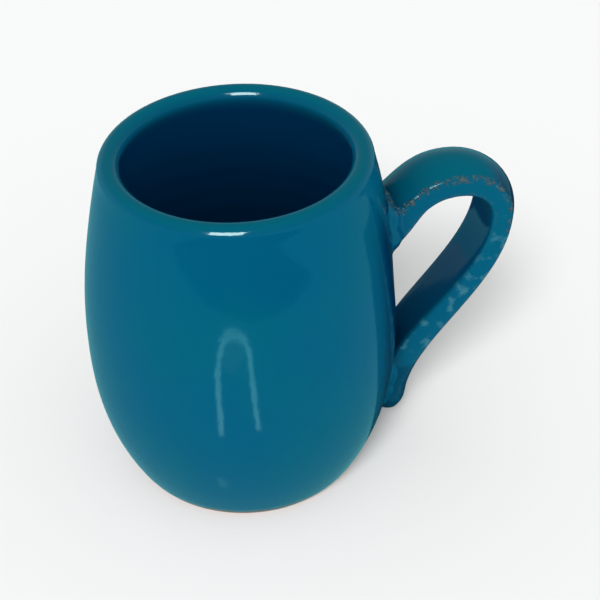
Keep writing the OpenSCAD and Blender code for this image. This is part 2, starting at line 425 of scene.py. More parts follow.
def half_section(half_w, half_t, tilt, undercut):
    """(across, up, ridge) from the middle of the flat inside, round one side, to the crown."""
    edge_r, ridge_r = half_t * EDGE_SHARE, half_t * RIDGE_SHARE
    foot_w = half_w - undercut
    turn = math.pi / 2 - tilt
    crown_w = half_w - ridge_r + ridge_r * math.cos(turn)
    crown_rise = math.tan(tilt) / 2 * crown_w
    ridge_up = half_t - crown_rise - ridge_r * math.sin(turn)
    points = [((foot_w - edge_r) * i / FLAT_STEPS, -half_t, 0) for i in range(FLAT_STEPS)]
    for i in range(EDGE_STEPS + 1):
        a = math.pi / 2 * (i / EDGE_STEPS - 1)
        across = foot_w - edge_r + edge_r * math.cos(a)
        points.append((across, edge_r - half_t + edge_r * math.sin(a), i / EDGE_STEPS * EDGE_WEAR))
    low = points[-1]
    for i in range(1, SIDE_STEPS):
        share = i / SIDE_STEPS
        points.append((low[0] + (half_w - low[0]) * share, low[1] + (ridge_up - low[1]) * share, 0))
    for i in range(RIDGE_STEPS + 1):
        a = turn * i / RIDGE_STEPS
        points.append((half_w - ridge_r + ridge_r * math.cos(a), ridge_up + ridge_r * math.sin(a), 1))
    for i in range(1, CROWN_STEPS + 1):
        share = 1 - i / CROWN_STEPS
        points.append((crown_w * share, half_t - crown_rise * share ** 2, 0))
    return points


def section(half_w, half_t, tilt, undercut):
    """The whole section: one half and its mirror image."""
    half = half_section(half_w, half_t, tilt, undercut)
    return half + [(-across, up, ridge) for across, up, ridge in reversed(half[1:-1])]


STRAP_SIDES = len(section(STRAP_W / 2, STRAP_T / 2, CROWN_TILT, 0))
print("section of", STRAP_SIDES, "points")

# %% Helpers to place a ring
# Above this height the ridge is worn fully, and by this share low down
WORN_Z = 60 * MM
WORN_RUN = 14 * MM
WORN_LOW = 0.45


def in_section(place, way, across, up):
    """A place across and up in the section of a station."""
    return Vector((place.x - way.y * up, across, place.y + way.x * up))


def place_ring(vertices, station, layer):
    """Set a ring of vertices to the strap's section at a station."""
    place, way, *shape = station
    for vertex, (across, up, ridge) in zip(vertices, section(*shape)):
        vertex.co = in_section(place, way, across, up)
        vertex[layer] = ridge * (WORN_LOW + (1 - WORN_LOW) * ease((place.y - WORN_Z) / WORN_RUN))


# %% Pull the strap ring by ring
def pull_strap(name, grow):
    """Extrude a ring of vertices along the stations, and close both ends."""
    bpy.ops.mesh.primitive_circle_add(vertices=STRAP_SIDES, radius=STRAP_T / 2)
    piece = bpy.context.object
    piece.name = name
    piece.data.attributes.new("ridge", "FLOAT", "POINT")
    bpy.ops.object.mode_set(mode="EDIT")
    bpy.ops.mesh.select_all(action="SELECT")
    for i, station in enumerate(stations(grow)):
        if i > 0:
            bpy.ops.mesh.extrude_edges_move()
        mesh = bmesh.from_edit_mesh(piece.data)
        mesh.verts.ensure_lookup_table()
        place_ring(mesh.verts[-STRAP_SIDES:], station, mesh.verts.layers.float["ridge"])
        bmesh.update_edit_mesh(piece.data)
    bpy.ops.mesh.edge_face_add()
    bpy.ops.mesh.select_all(action="DESELECT")
    bpy.ops.mesh.select_non_manifold()
    bpy.ops.mesh.edge_face_add()
    bpy.ops.mesh.select_all(action="SELECT")
    bpy.ops.mesh.normals_make_consistent(inside=False)
    bpy.ops.object.mode_set(mode="OBJECT")
    trim_root(piece)
    print(name, len(piece.data.vertices), "vertices,", len(piece.data.polygons), "faces")
    return piece


def trim_root(piece):
    """Cut the hidden start of the strap upright, inside the cup's wall."""
    only(piece)
    bpy.ops.object.mode_set(mode="EDIT")
    pick(piece, lambda co: co.z > BELLY_Z)
    bpy.ops.mesh.bisect(plane_co=(ROOT.x, 0, 0), plane_no=(-1, 0, 0), clear_outer=True, use_fill=True)
    bpy.ops.object.mode_set(mode="OBJECT")


handle_clay = pull_strap("handle_clay", 0)
handle_coat = pull_strap("handle_coat", GLAZE)

# %% [markdown]
# ## Smearing the joints
# Soft clay is pressed into the corner between strap and wall and smeared with a wet finger. A bevel
# along the corner would be too even, and sculpting can't be written down. So a block that holds both
# surfaces and balls of clay is remeshed to one skin and smoothed, which fills the corner. Only the
# band along the corner is kept, with its edges sunk just under the glaze of cup and strap.

# %% Helpers to copy, cut and join
def copy_of(piece, name):
    """A copy of a piece with a mesh of its own."""
    twin = piece.copy()
    twin.data = piece.data.copy()
    twin.name = name
    bpy.context.collection.objects.link(twin)
    return twin


def cut_away(piece, place, normal):
    """Cut off what lies on the normal's side of a plane, and close the cut."""
    only(piece)
    bpy.ops.object.mode_set(mode="EDIT")
    bpy.ops.mesh.select_all(action="SELECT")
    bpy.ops.mesh.bisect(plane_co=place, plane_no=normal, clear_outer=True, use_fill=True)
    bpy.ops.object.mode_set(mode="OBJECT")


def cut_to_box(piece, low, high):
    """Cut a piece down to a box."""
    for axis in range(3):
        normal = Vector([float(i == axis) for i in range(3)])
        cut_away(piece, low, -normal)
        cut_away(piece, high, normal)


def join_all(pieces):
    """Join pieces into the first one."""
    only(pieces[0])
    for piece in pieces[1:]:
        piece.select_set(True)
    bpy.ops.object.join()
    return bpy.context.object


def apply_modifier(piece, kind, **settings):
    """Add a modifier with its settings and apply it."""
    only(piece)
    bpy.ops.object.modifier_add(type=kind)
    modifier = piece.modifiers[-1]
    for key, value in settings.items():
        setattr(modifier, key, value)
    bpy.ops.object.modifier_apply(modifier=modifier.name)


def surface_of(piece):
    """A search tree of a piece's faces, to measure distances to its surface."""
    mesh = bmesh.new()
    mesh.from_mesh(piece.data)
    tree = BVHTree.FromBMesh(mesh)
    mesh.free()
    return tree


# %% A filled cup to press the clay against
filled = [(0, GLAZE_LINE)] + outside(GLAZE) + [(0, CUP_H + GLAZE)]
press_form = throw("press_form", filled)
lean_lip(press_form)
press_wall(press_form)
cup_surface = surface_of(press_form)
strap_surface = surface_of(handle_coat)


def height_over(surface, co):
    """Height of a place over a surface, negative below it."""
    nearest, normal, _, distance = surface.find_nearest(co)
    return math.copysign(distance, (co - nearest).dot(normal))


# %% Find the corner between strap and wall
COAT_STATIONS = stations(GLAZE)
UPPER_PLACES = 36


def corner_places(first, last, count):
    """Places in the corner, found by going along the strap from inside the wall."""
    places = []
    for k in range(count):
        turn = 2 * math.pi * k / count
        for i in range(first, last):
            station, beyond = COAT_STATIONS[i], COAT_STATIONS[i + 1]
            here, there = side_place(station, turn), side_place(beyond, turn)
            low, high = height_over(cup_surface, here), height_over(cup_surface, there)
            if low * high <= 0:
                places.append((turn, here.lerp(there, low / (low - high))))
                break
    return places


def side_place(station, turn):
    """A place on the strap's side at a turn round its middle line: 0 is its outside."""
    place, way, half_w, half_t = station[:4]
    return in_section(place, way, half_w * math.sin(turn), half_t * math.cos(turn))


def side_corner(first, last):
    """Places where the strap's two sides meet the wall, station by station."""
    places = []
    for place, way, *shape in COAT_STATIONS[first:last]:
        ring = [in_section(place, way, across, up) for across, up, _ in half_section(*shape)]
        heights = [height_over(cup_surface, co) for co in ring]
        for i in range(1, len(ring)):
            if heights[i - 1] < 0 <= heights[i]:
                co = ring[i - 1].lerp(ring[i], heights[i - 1] / (heights[i - 1] - heights[i]))
                places += [(math.pi / 2, co), (-math.pi / 2, Vector((co.x, -co.y, co.z)))]
                break
    return places


upper_corner = corner_places(0, ROOT_STEPS, UPPER_PLACES)
lower_corner = side_corner(ROOT_STEPS + BEND_STEPS + 1, len(COAT_STATIONS) - 1)
print(len(upper_corner), "places at the upper root,", len(lower_corner), "at the lower root")

# %% Helpers to lay balls of clay
SMEAR_VOXEL = 0.4 * MM
# Least and most of a ball's share of the roll's thickness
UNEVEN = (0.85, 1.15)


def ball_of_clay(place, radius):
    """One ball of soft clay, with its place in its mesh."""
    bpy.ops.mesh.primitive_ico_sphere_add(subdivisions=2, radius=radius, location=place)
    bpy.ops.object.transform_apply(location=True, rotation=True, scale=True)
    return bpy.context.object


def roll_of_clay(places, thickness, seed):
    """Balls along a corner, each a little different, and none too small to remesh."""
    chance = random.Random(seed)
    sized = [(place, thickness(turn, place) * chance.uniform(*UNEVEN)) for turn, place in places]
    return [ball_of_clay(place, radius) for place, radius in sized if radius > SMEAR_VOXEL]


# %% Helper to keep the band along the corner
# The band reaches this far from the corner
SMEAR_REACH = 6.5 * MM
# It lies this deep where it stands less than this proud of the cup or the strap
SINK = 0.15 * MM
SINK_UNDER = 0.3 * MM


def keep_band(piece, low, high):
    """Keep lumps and what lies near both cup and strap, and sink it where it follows only one."""
    edge = 2 * SMEAR_VOXEL

    def outside_band(co):
        if any(co[i] < low[i] + edge or co[i] > high[i] - edge for i in range(3)):
            return True
        if max(cup_surface.find_nearest(co)[3], strap_surface.find_nearest(co)[3]) <= SMEAR_REACH:
            return False
        return min(height_over(cup_surface, co), height_over(strap_surface, co)) < SINK_UNDER

    only(piece)
    bpy.ops.object.mode_set(mode="EDIT")
    pick(piece, outside_band)
    bpy.ops.mesh.delete(type="VERT")
    mesh = bmesh.from_edit_mesh(piece.data)
    mesh.normal_update()
    for vertex in mesh.verts:
        proud = min(height_over(cup_surface, vertex.co), height_over(strap_surface, vertex.co))
        vertex.co -= vertex.normal * SINK * (1 - ease(proud / SINK_UNDER))
    bmesh.update_edit_mesh(piece.data)
    bpy.ops.mesh.select_all(action="SELECT")
    bpy.ops.mesh.delete_loose(use_verts=True, use_edges=True, use_faces=False)
    bpy.ops.object.mode_set(mode="OBJECT")


# %% Helper to smear clay into a corner
SMEAR_T = 0.9 * MM
SMEAR_SMOOTH = 0.5


def smear(name, box, passes, lumps):
    """The smeared clay of one root: form, strap and lumps of clay in a box, made one skin."""
    low, high = (Vector(corner) * MM for corner in box)
    blocks = [copy_of(press_form, name), copy_of(handle_coat, name + "_strap")]
    for block in blocks:
        cut_to_box(block, low, high)
    piece = join_all(blocks + lumps)
    apply_modifier(piece, "REMESH", mode="VOXEL", voxel_size=SMEAR_VOXEL)
    apply_modifier(piece, "SMOOTH", factor=SMEAR_SMOOTH, iterations=passes)
    keep_band(piece, low, high)
    apply_modifier(piece, "SOLIDIFY", thickness=SMEAR_T, offset=-1)
    print(name, len(piece.data.vertices), "vertices")
    return piece


# %% Smear the upper root
# Corners of its box in millimetres, smoothing passes, and the seed of its balls
UPPER_BOX = (35, -16, 50), (60, 16, 93)
UPPER_PASSES = 60
UPPER_SEED = 4
# Most clay went under the strap, some to its sides, and little on top
UNDER_ROLL = 3.8 * MM
SIDE_ROLL = 2.1 * MM
TOP_ROLL = 0.8 * MM
# A finger dragged some of it down the wall on the near side: place and radius, in millimetres
DRAGGED = [
    ((37.6, -9.2, 84.2), 2),
    ((39, -9.4, 82.4), 2.3),
    ((40.6, -9.2, 79.5), 2.6),
    ((40.5, -9.4, 77.5), 2.6),
    ((40.4, -9.4, 75.5), 2.4),
    ((40.4, -9.2, 73.5), 2.2),
    ((40.5, -8.8, 71.5), 2),
    ((40.6, -8.4, 69.5), 1.7),
    ((40.8, -8, 67.5), 1.3),
]


def upper_roll(turn, place):
    """Thickness of the roll at a turn round the strap."""
    level = (1 - math.cos(turn)) / 2
    side = abs(math.sin(turn))
    return TOP_ROLL + (UNDER_ROLL - TOP_ROLL) * level ** 2 + (SIDE_ROLL - TOP_ROLL) * side


upper_lumps = roll_of_clay(upper_corner, upper_roll, UPPER_SEED)
upper_lumps += [ball_of_clay(Vector(place) * MM, radius * MM) for place, radius in DRAGGED]
upper_slip = smear("upper_root_slip", UPPER_BOX, UPPER_PASSES, upper_lumps)

# %% Smear the lower root
LOWER_BOX = (30, -14, 2), (56, 14, 46)
LOWER_PASSES = 44
LOWER_SEED = 7
LOWER_ROLL = 3.4 * MM
THIN_ROLL = 1.1 * MM
# Near the foot the roll thins out, to this share at the table
TOE_SHARE = 0.2
TOE_RUN = 9 * MM


def lower_roll(turn, place):
    """Thick beside the part that the thumb pressed, thin above it."""
    thick = ease((THUMB_Z - place.z) / THUMB_RUN)
    return (THIN_ROLL + (LOWER_ROLL - THIN_ROLL) * thick) * ease(TOE_SHARE + place.z / TOE_RUN)


lower_lumps = roll_of_clay(lower_corner, lower_roll, LOWER_SEED)
lower_slip = smear("lower_root_slip", LOWER_BOX, LOWER_PASSES, lower_lumps)
bpy.data.objects.remove(press_form)

# %% [markdown]
# ## The glaze
# A glossy coat that looks petrol blue where it is thick. It could be painted on to a picture, but a
# picture needs unwrapping and loses sharpness close up. So it is one node material for every glazed
# piece, on Object coordinates, and its slow drift in hue and its fine orange peel run on from one
# piece to the next. Where the glaze ran thick or thin follows the form, and so do a painted shade in
# the hollows and behind the strap, a painted sky sheen on faces that look up and a painted glint on a
# pimple. All of it is stored on the vertices.

# %% Helpers for node materials
def new_material(name):
    """A new node material, its node tree and its shader."""
    material = bpy.data.materials.new(name)
    material.use_nodes = True
    tree = material.node_tree
    return material, tree, tree.nodes["Principled BSDF"]


def add_node(tree, kind, inputs=None, **settings):
    """A node with its settings, and its inputs set or linked."""
    made = tree.nodes.new(kind)
    for key, value in settings.items():
        setattr(made, key, value)
    for socket, value in (inputs or {}).items():
        if isinstance(value, bpy.types.NodeSocket):
            tree.links.new(value, made.inputs[socket])
        else:
            made.inputs[socket].default_value = value
    return made


def blend_colours(tree, share, first, second):
    """A colour between two, by a share."""
    inputs = {0: share, 6: first, 7: second}
    return add_node(tree, "ShaderNodeMix", inputs, data_type="RGBA").outputs[2]


def ramp(tree, value, low, high):
    """A value stretched so that low gives 0 and high gives 1."""
    node = add_node(tree, "ShaderNodeMapRange", {"Value": value, "From Min": low, "From Max": high})
    node.interpolation_type = "SMOOTHSTEP"
    return node.outputs[0]


# %% Helpers to mark the glaze
def mark(piece, name, weight_at):
    """Store a weight from 0 to 1 on every vertex of a piece."""
    mesh = piece.data
    attribute = mesh.attributes.get(name) or mesh.attributes.new(name, "FLOAT", "POINT")
    weights = [ease(weight_at(vertex)) for vertex in mesh.vertices]
    attribute.data.foreach_set("value", weights)
    print(piece.name, name, "on", sum(weight > 0 for weight in weights), "of", len(weights), "vertices")


def is_inside(co):
    """Whether a place is inside the cup, by the middle of its wall."""
    return math.hypot(co.x, co.y) < wall_radius(min(co.z, LIP_Z)) - WALL / 2


# %% Where the cup's glaze ran thick and thin, and where shade, sheen and a glint are painted on
# Pooled glaze with painted shade starts this far below the crest of the lip
POOL_SHADE_FROM = 2.4 * MM
POOL_SHADE_RUN = 3.5 * MM
# Inside the cup painted shade gets darker and darker over this height
INNER_SHADE_RUN = 1.5 * LIP_Z
# The height of the brown line at the lip's inner edge, and the width of that line
BROWN_LINE_Z = LIP_Z + 0.6 * MM
BROWN_LINE_RUN = 0.6 * MM
# Painted shade and a painted reflection of the strap darken the wall behind it, over this angle to
# each side, and fade out
BEHIND = math.radians(25)
BEHIND_RUN = math.radians(23)
BEHIND_SHARE = 0.84
BEHIND_FADE = 5 * LIP
# The glaze is thin enough to show brown along its lower edge
FOOT_RUN = 1.2 * MM
# A face that leans upwards by more than this has thinner, greener glaze and a painted sky sheen
UP_FROM = 0.2
# A small pimple in the glaze near the foot, whose glint is painted on as a pale spot
PIMPLE = Vector((-14, -39, 20)) * MM
PIMPLE_R = 1.8 * MM
PIMPLE_PEAK = 1.4


def cup_pool_and_shade(vertex):
    """Pooled glaze with painted shade inside the cup, from just under its lip."""
    return (CUP_H - POOL_SHADE_FROM - vertex.co.z) / POOL_SHADE_RUN if is_inside(vertex.co) else 0


def cup_painted_shade(vertex):
    """Painted shade low inside the cup, and painted shade and reflection on the wall behind the strap."""
    co = vertex.co
    if is_inside(co):
        return (LIP_Z - LIP - co.z) / INNER_SHADE_RUN
    turn = abs(math.atan2(co.y, co.x))
    share = ease((BEHIND + BEHIND_RUN - turn) / BEHIND_RUN)
    return BEHIND_SHARE * share * ease((CUP_H - co.z) / BEHIND_FADE) * ease(co.z / BEHIND_FADE)


def cup_brown_line(vertex):
    """Brown along the lip's inner edge, strongest in front, and where the glaze ends at the foot."""
    foot = 1 - (vertex.co.z - GLAZE_LINE) / FOOT_RUN
    front = ease(0.5 - vertex.co.y / RIM_R)
    return (1 - abs(vertex.co.z - BROWN_LINE_Z) / BROWN_LINE_RUN) * front if is_inside(vertex.co) else foot


def facing_up(vertex):
    """Thinner glaze on what faces upwards, because it ran down from there, and a painted sky sheen."""
    return vertex.normal.z - UP_FROM


def lip_top(vertex):
    """Thinner glaze and a painted sky sheen on top of the lip."""
    return facing_up(vertex) if vertex.co.z > LIP_Z - LIP else 0


def pimple_glint_weight(vertex):
    """The painted glint of the pale spot, strongest in its middle."""
    return PIMPLE_PEAK * (1 - (vertex.co - PIMPLE).length / PIMPLE_R)


mark(cup_glaze, "pimple_glint", pimple_glint_weight)
mark(cup_glaze, "pool_and_shade", cup_pool_and_shade)
mark(cup_glaze, "deep_shade", cup_painted_shade)
mark(cup_glaze, "brown_line", cup_brown_line)
mark(cup_glaze, "thin_and_sheen", lip_top)

# %% Where the strap's glaze ran thick and thin, and where shade and a reflection are painted
# Painted shade on the strap's flat inside, where it faces the cup
INSIDE_SHADE = 0.8
# Painted shade darkens the corner at each root and fades out along the strap
ROOT_SHADE = 0.75
ROOT_SHADE_RUN = 7 * MM
# Painted shade on the tail's sides that the thumb pressed
PRESSED_SHADE = 0.5
# A painted dark reflection also lies on the outside of the bend, where the strap turns down
BEND_REFLECTION_Z = 81 * MM
BEND_REFLECTION_RUN = 12 * MM
# How the outside of the bend is told from its face that looks up
OUTWARD_GAIN, OUTWARD_FROM = 2, 0.5


def under_bend(vertex):
    """0 above the strap's bend and 1 below it."""
    return ease((BEND.y - vertex.co.z) / STRAP_T + 0.5)


def strap_inside_shade(vertex):
    """Painted shade on the strap's flat inside, which faces the cup: towards the axis and not up or
    sideways.
    """
    return INSIDE_SHADE * -vertex.normal.x * under_bend(vertex) - abs(vertex.normal.y)


def strap_painted_shade(vertex):
    """Painted shade at each root and on the sides that the thumb pressed, and a painted reflection at the
    bend.
    """
    from_wall = vertex.co.x - wall_radius(max(0, min(vertex.co.z, LIP_Z)))
    pressed = (THUMB_Z - vertex.co.z) / THUMB_RUN * abs(vertex.normal.y)
    outward = ease(OUTWARD_GAIN * vertex.normal.x - OUTWARD_FROM)
    bend_reflection = (1 - abs(vertex.co.z - BEND_REFLECTION_Z) / BEND_REFLECTION_RUN) * outward
    return max(ROOT_SHADE - from_wall / ROOT_SHADE_RUN, min(PRESSED_SHADE, pressed), bend_reflection)


def milky_side(vertex):
    """The strap's upright sides between its roots, where the glaze ran milky in places."""
    return abs(vertex.normal.y) * under_bend(vertex) * ease((vertex.co.z - THUMB_Z) / STRAP_T)


mark(handle_coat, "pool_and_shade", strap_inside_shade)
mark(handle_coat, "deep_shade", strap_painted_shade)
mark(handle_coat, "thin_and_sheen", facing_up)
mark(handle_coat, "side", milky_side)

# %% Where the smears' glaze ran thick and thin, and where shade and glints are painted on them
# Even tones of pooled glaze with painted shade on each smear, and more painted shade on the lower one
UPPER_POOL_SHADE, LOWER_POOL_SHADE, LOWER_SHADE = 0.3, 0.25, 0.15
# The upper smear has painted shade underneath, and wear on top whose grey specks also paint glints:
# share on its sides, and change with the tilt
UPPER_SHADE, UNDER_GAIN = 0.1, 0.8
UPPER_WEAR_AND_GLINT, TOP_GAIN = 0.2, 0.7
mark(upper_slip, "pool_and_shade", lambda vertex: UPPER_POOL_SHADE)
mark(upper_slip, "deep_shade", lambda vertex: UPPER_SHADE - UNDER_GAIN * vertex.normal.z)
mark(upper_slip, "ridge", lambda vertex: UPPER_WEAR_AND_GLINT + TOP_GAIN * vertex.normal.z)
mark(lower_slip, "pool_and_shade", lambda vertex: LOWER_POOL_SHADE)
mark(lower_slip, "deep_shade", lambda vertex: LOWER_SHADE)

# %% The glaze's colours and grain
PETROL = (0.0, 0.104, 0.208, 1)
# Greener where the glaze is thinner, also a painted sky sheen on faces that look up
TEAL = (0.0, 0.125, 0.18, 1)
# Darker blue of pooled glaze, also painted shade inside the cup and on the strap's inside
POOLED_AND_SHADED = (0.0, 0.06, 0.178, 1)
# Navy of deep painted shade
SHADE_NAVY = (0.0, 0.018, 0.07, 1)
# Milky glaze, also the painted glint of a pimple near the foot
MILKY_AND_GLINT = (0.04, 0.2, 0.28, 1)
# Grey of broken glaze, also painted glints on top of the upper smear
BROKEN_AND_GLINT = (0.08, 0.12, 0.14, 1)
BROWN = (0.13, 0.09, 0.075, 1)
GLAZE_ROUGH = 0.07
GLAZE_IOR = 1.5
# Straight on, this glaze mirrors little red
CYAN_MIRROR = (0.25, 1.0, 1.0, 1)
# Each noise is a scale, where more is finer, and its detail
DRIFT_NOISE, PATCH_NOISE, SPECK_NOISE, BROWN_NOISE = (28, 2), (220, 3), (900, 3), (250, 3)
SLOW_NOISE, PEEL_NOISE = (60, 1), (420, 2)
# Between these values of its noise a mark goes from none to full
DRIFT_BAND, PATCH_BAND, SPECK_BAND, BROWN_BAND = (0.4, 0.7), (0.5, 0.66), (0.46, 0.64), (0.3, 0.62)
DRIFT_SHARE = 0.4
# The ridge's wear counts from this weight on
WORN_BAND = (0.3, 1)
# Strength and depth in metres of the slow waves, the pits on the ridge and the orange peel
SLOW_BUMP, PIT_BUMP, PEEL_BUMP = (0.1, 0.001), (0.8, 0.0005), (0.1, 0.0003)
# The peel makes the gloss up to this many times rougher, and wear adds to that
PEEL_ROUGH = 1.6
WORN_ROUGH = 0.12


# %% Helpers for its nodes
def attribute(tree, name):
    """A weight that is stored on the vertices, or 0 where there is none."""
    return add_node(tree, "ShaderNodeAttribute", attribute_name=name).outputs["Fac"]


def combine(tree, first, second, operation="MULTIPLY"):
    """Two values made one."""
    return add_node(tree, "ShaderNodeMath", {0: first, 1: second}, operation=operation).outputs[0]


def noise(tree, place, scale, detail):
    """A cloudy value from 0 to 1."""
    inputs = {"Vector": place, "Scale": scale, "Detail": detail}
    return add_node(tree, "ShaderNodeTexNoise", inputs).outputs[0]


def bump(tree, height, strength, distance, under=None):
    """Relief from a height, on top of the relief under it."""
    inputs = {"Height": height, "Strength": strength, "Distance": distance}
    if under is not None:
        inputs["Normal"] = under
    return add_node(tree, "ShaderNodeBump", inputs).outputs[0]


# %% Mix the glaze
def glaze_material():
    """Petrol blue, greener where thinner, darker where it pools, milky and broken in places; painted sheen,
    shade and a glint.
    """
    material, tree, shader = new_material("petrol_glaze")
    place = add_node(tree, "ShaderNodeTexCoord").outputs["Object"]
    drift = combine(tree, ramp(tree, noise(tree, place, *DRIFT_NOISE), *DRIFT_BAND), DRIFT_SHARE)
    # Upward faces get thinner glaze and a painted sky sheen; the noise drifts the hue at random
    thin_and_sheen = combine(tree, attribute(tree, "thin_and_sheen"), drift, "MAXIMUM")
    colour = blend_colours(tree, thin_and_sheen, PETROL, TEAL)
    # Pooled glaze with painted shade inside the cup and on the strap's inside
    colour = blend_colours(tree, attribute(tree, "pool_and_shade"), colour, POOLED_AND_SHADED)
    # Painted shade low in the cup, behind the strap, at the strap's roots and on the smears, and a painted
    # reflection at the bend
    colour = blend_colours(tree, attribute(tree, "deep_shade"), colour, SHADE_NAVY)
    ridge = attribute(tree, "ridge")
    clouds = ramp(tree, noise(tree, place, *PATCH_NOISE), *PATCH_BAND)
    patches = combine(tree, attribute(tree, "side"), clouds)
    # The milky mark also paints the glint of the pimple near the foot
    milky = combine(tree, patches, attribute(tree, "pimple_glint"), "MAXIMUM")
    colour = blend_colours(tree, milky, colour, MILKY_AND_GLINT)
    # Grey specks of broken glaze; on top of the upper smear they also paint glints
    specks = ramp(tree, noise(tree, place, *SPECK_NOISE), *SPECK_BAND)
    broken = combine(tree, ramp(tree, ridge, *WORN_BAND), specks)
    colour = blend_colours(tree, broken, colour, BROKEN_AND_GLINT)
    brown = combine(tree, attribute(tree, "brown_line"), ramp(tree, noise(tree, place, *BROWN_NOISE), *BROWN_BAND))
    colour = blend_colours(tree, brown, colour, BROWN)
    tree.links.new(colour, shader.inputs["Base Color"])
    peel = noise(tree, place, *PEEL_NOISE)
    slow_waves = bump(tree, noise(tree, place, *SLOW_NOISE), *SLOW_BUMP)
    pits = bump(tree, combine(tree, broken, ridge), *PIT_BUMP, slow_waves)
    tree.links.new(bump(tree, peel, *PEEL_BUMP, pits), shader.inputs["Normal"])
    gloss = {"Value": peel, "To Min": GLAZE_ROUGH, "To Max": GLAZE_ROUGH * PEEL_ROUGH}
    fine = add_node(tree, "ShaderNodeMapRange", gloss).outputs[0]
    rough = combine(tree, fine, combine(tree, ridge, WORN_ROUGH), "ADD")
    tree.links.new(rough, shader.inputs["Roughness"])
    shader.inputs["IOR"].default_value = GLAZE_IOR
    shader.inputs["Specular Tint"].default_value = CYAN_MIRROR
    print("mixed", material.name, "from", len(tree.nodes), "nodes")
    return material


petrol = glaze_material()


# %% [markdown]
# ## The bare clay
# Fired red earthenware shows only at the foot, and inside where a piece is cut open. A flat brown
# would look like plastic, so broad noise makes it blotchy and fine noise gives it a dry, open grain.

# %% The clay material
CLAY = (0.42, 0.16, 0.075, 1)
DARK_CLAY = (0.25, 0.08, 0.035, 1)
BLOTCH_NOISE, GRAIN_NOISE = (120, 4), (1500, 3)
BLOTCH_BAND = (0.35, 0.7)
GRAIN_BUMP = (0.4, 0.0003)
CLAY_ROUGH_LOW, CLAY_ROUGH_HIGH = 0.75, 0.95


def clay_material(name, light, dark):
    """Matt fired clay in two shades."""
    material, tree, shader = new_material(name)
    place = add_node(tree, "ShaderNodeTexCoord").outputs["Object"]
    blotch, grain = noise(tree, place, *BLOTCH_NOISE), noise(tree, place, *GRAIN_NOISE)
    colour = blend_colours(tree, ramp(tree, blotch, *BLOTCH_BAND), light, dark)
    tree.links.new(colour, shader.inputs["Base Color"])
    tree.links.new(bump(tree, grain, *GRAIN_BUMP), shader.inputs["Normal"])
    dryness = {"Value": grain, "To Min": CLAY_ROUGH_LOW, "To Max": CLAY_ROUGH_HIGH}
    tree.links.new(add_node(tree, "ShaderNodeMapRange", dryness).outputs[0], shader.inputs["Roughness"])
    return material


red_clay = clay_material("red_clay", CLAY, DARK_CLAY)
slip_clay = clay_material("slip_clay", DARK_CLAY, CLAY)
print("mixed", red_clay.name, "and", slip_clay.name)

# %% [markdown]
# ## Dressing
# Each new mesh gets its material, rides on the model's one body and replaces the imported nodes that
# it stands for. The two slip pads under the strap are hidden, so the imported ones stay.

# %% Dress and attach the pieces
# Edges that turn by more than this stay sharp
SMOOTH_ANGLE = math.radians(50)
DRESSING = [
    (cup_clay, red_clay, "clay", ["cup_body"]),
    (cup_glaze, petrol, "outer_glaze", ["outer_glaze", "liner_glaze"]),
    (handle_clay, red_clay, "clay", ["handle_strap"]),
    (handle_coat, petrol, "handle_glaze", ["handle_glaze"]),
    (upper_slip, petrol, "glazed_coil", ["upper_root_coil"]),
    (lower_slip, petrol, "glazed_coil", ["lower_root_coil"]),
]
for piece, material, slot, nodes in DRESSING:
    piece.data.materials.clear()
    piece.data.materials.append(material)
    only(piece)
    bpy.ops.object.shade_smooth_by_angle(angle=SMOOTH_ANGLE)
    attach(piece, "root")
    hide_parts(*nodes)
for name in ("upper_slip_pad", "lower_slip_pad"):
    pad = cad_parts[name]
    pad.data.materials.clear()
    pad.data.materials.append(slip_clay)
print(len(DRESSING), "pieces dressed")

# %% [markdown]
# ## Floor and light
# The mug stands on a plain pale floor under a soft sky that is brighter in front and to the left.
# A glossy glaze shows whatever stands round it. A whole room could be built for that, but here what
# the glaze mirrors is set apart by the kind of ray, which takes a few cards: a dim room, a dark place
# in front of the table, shade beside the handle, and a pale loop on the table.

# %% Helper for matt materials
def matt_material(name):
    """A new material without any gloss."""
    material, tree, shader = new_material(name)
    shader.inputs["Roughness"].default_value = 1
    shader.inputs["Specular IOR Level"].default_value = 0
    return material, tree, shader


# %% The floor
PAPER = (0.93, 0.94, 0.935, 1)
# To the camera the paper takes light by the first share of its colour, and glows by the second, so
# that its shadows stay light. The light that it throws up at the mug comes from a plain grey.
LIT_PAPER = 0.56
GLOW = 0.1
TRUE_GREY = 0.5
MIRRORED_FLOOR = (0.12, 0.38, 0.4, 1)
BLACK = (0, 0, 0, 1)
FLOOR_SIZE = 8
bpy.ops.mesh.primitive_plane_add(size=FLOOR_SIZE)
floor = bpy.context.object
floor.name = "floor"
paper, tree, shader = matt_material("pale_floor")
rays = add_node(tree, "ShaderNodeLightPath")
to_camera, mirrored = rays.outputs["Is Camera Ray"], rays.outputs["Is Glossy Ray"]
lit_paper = [channel * LIT_PAPER for channel in PAPER[:3]] + [1]
glowing_paper = [channel * GLOW for channel in PAPER[:3]] + [1]
lit = blend_colours(tree, to_camera, [TRUE_GREY] * 3 + [1], lit_paper)
glow = blend_colours(tree, to_camera, BLACK, glowing_paper)
tree.links.new(blend_colours(tree, mirrored, lit, BLACK), shader.inputs["Base Color"])
tree.links.new(blend_colours(tree, mirrored, glow, MIRRORED_FLOOR), shader.inputs["Emission Color"])
shader.inputs["Emission Strength"].default_value = 1
floor.data.materials.append(paper)
print(floor.name, "is", FLOOR_SIZE, "m wide")

# %% What only the glaze mirrors
def mirrored_only(piece, name, colour, strength):
    """Dress a card or loop so that only mirror rays see it."""
    material, _, shader = matt_material(name)
    shader.inputs["Base Color"].default_value = BLACK
    shader.inputs["Emission Color"].default_value = colour
    shader.inputs["Emission Strength"].default_value = strength
    piece.data.materials.append(material)
    piece.name = name
    piece.visible_camera = False
    piece.visible_diffuse = False
    piece.visible_shadow = False
    print(name, "glows at", strength)


